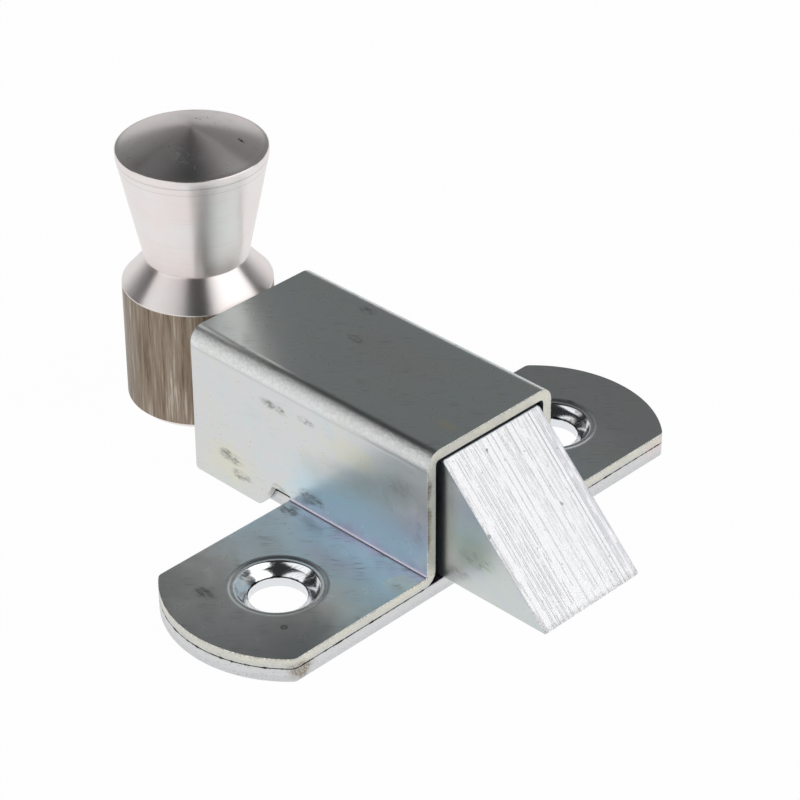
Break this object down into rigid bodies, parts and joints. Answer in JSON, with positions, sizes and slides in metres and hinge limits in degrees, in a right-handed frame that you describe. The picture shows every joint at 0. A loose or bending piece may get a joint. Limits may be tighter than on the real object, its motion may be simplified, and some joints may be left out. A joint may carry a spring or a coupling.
{
  "type": "spring door bolt",
  "caption": "Surface-mounted spring bolt: a square bevelled bolt slides in a folded cover on an eared base plate and is drawn back by an upright turned knob.",
  "frame": {"origin": "on the mounting face of the base plate, midway between the two screw holes", "axes": "+X the way the bolt points, +Y along the screw ears, +Z away from the mounting face, through the cover's roof"},
  "size_m": [0.0648, 0.0628, 0.0343],
  "materials": {
    "cover_zinc": "zinc-plated sheet, satin, with faint passivation tints",
    "base_zinc": "zinc-plated sheet, satin, with faint passivation tints",
    "bolt_steel": "zinc-plated square bar, bevel left with fine milling lines",
    "rod_steel": "zinc-plated turned rod",
    "spring_steel": "drawn spring wire, satin",
    "knob_aluminium": "turned, with the drawn skin of the bar left on the foot"
  },
  "bodies": {
    "housing": {"housing_cover": "cover_zinc", "base_plate": "base_zinc", "return_spring": "spring_steel"},
    "bolt": {"latch_bolt": "bolt_steel", "bolt_rod": "rod_steel", "pull_knob": "knob_aluminium"}
  },
  "joints": [
    {"name": "bolt_slide", "type": "slide", "parent": "housing", "child": "bolt", "axis": [-1, 0, 0], "range_m": [0, 0.0135], "stiffness_N_per_m": 1190, "springref_m": -0.008, "deforming": ["return_spring"]}
  ]
}
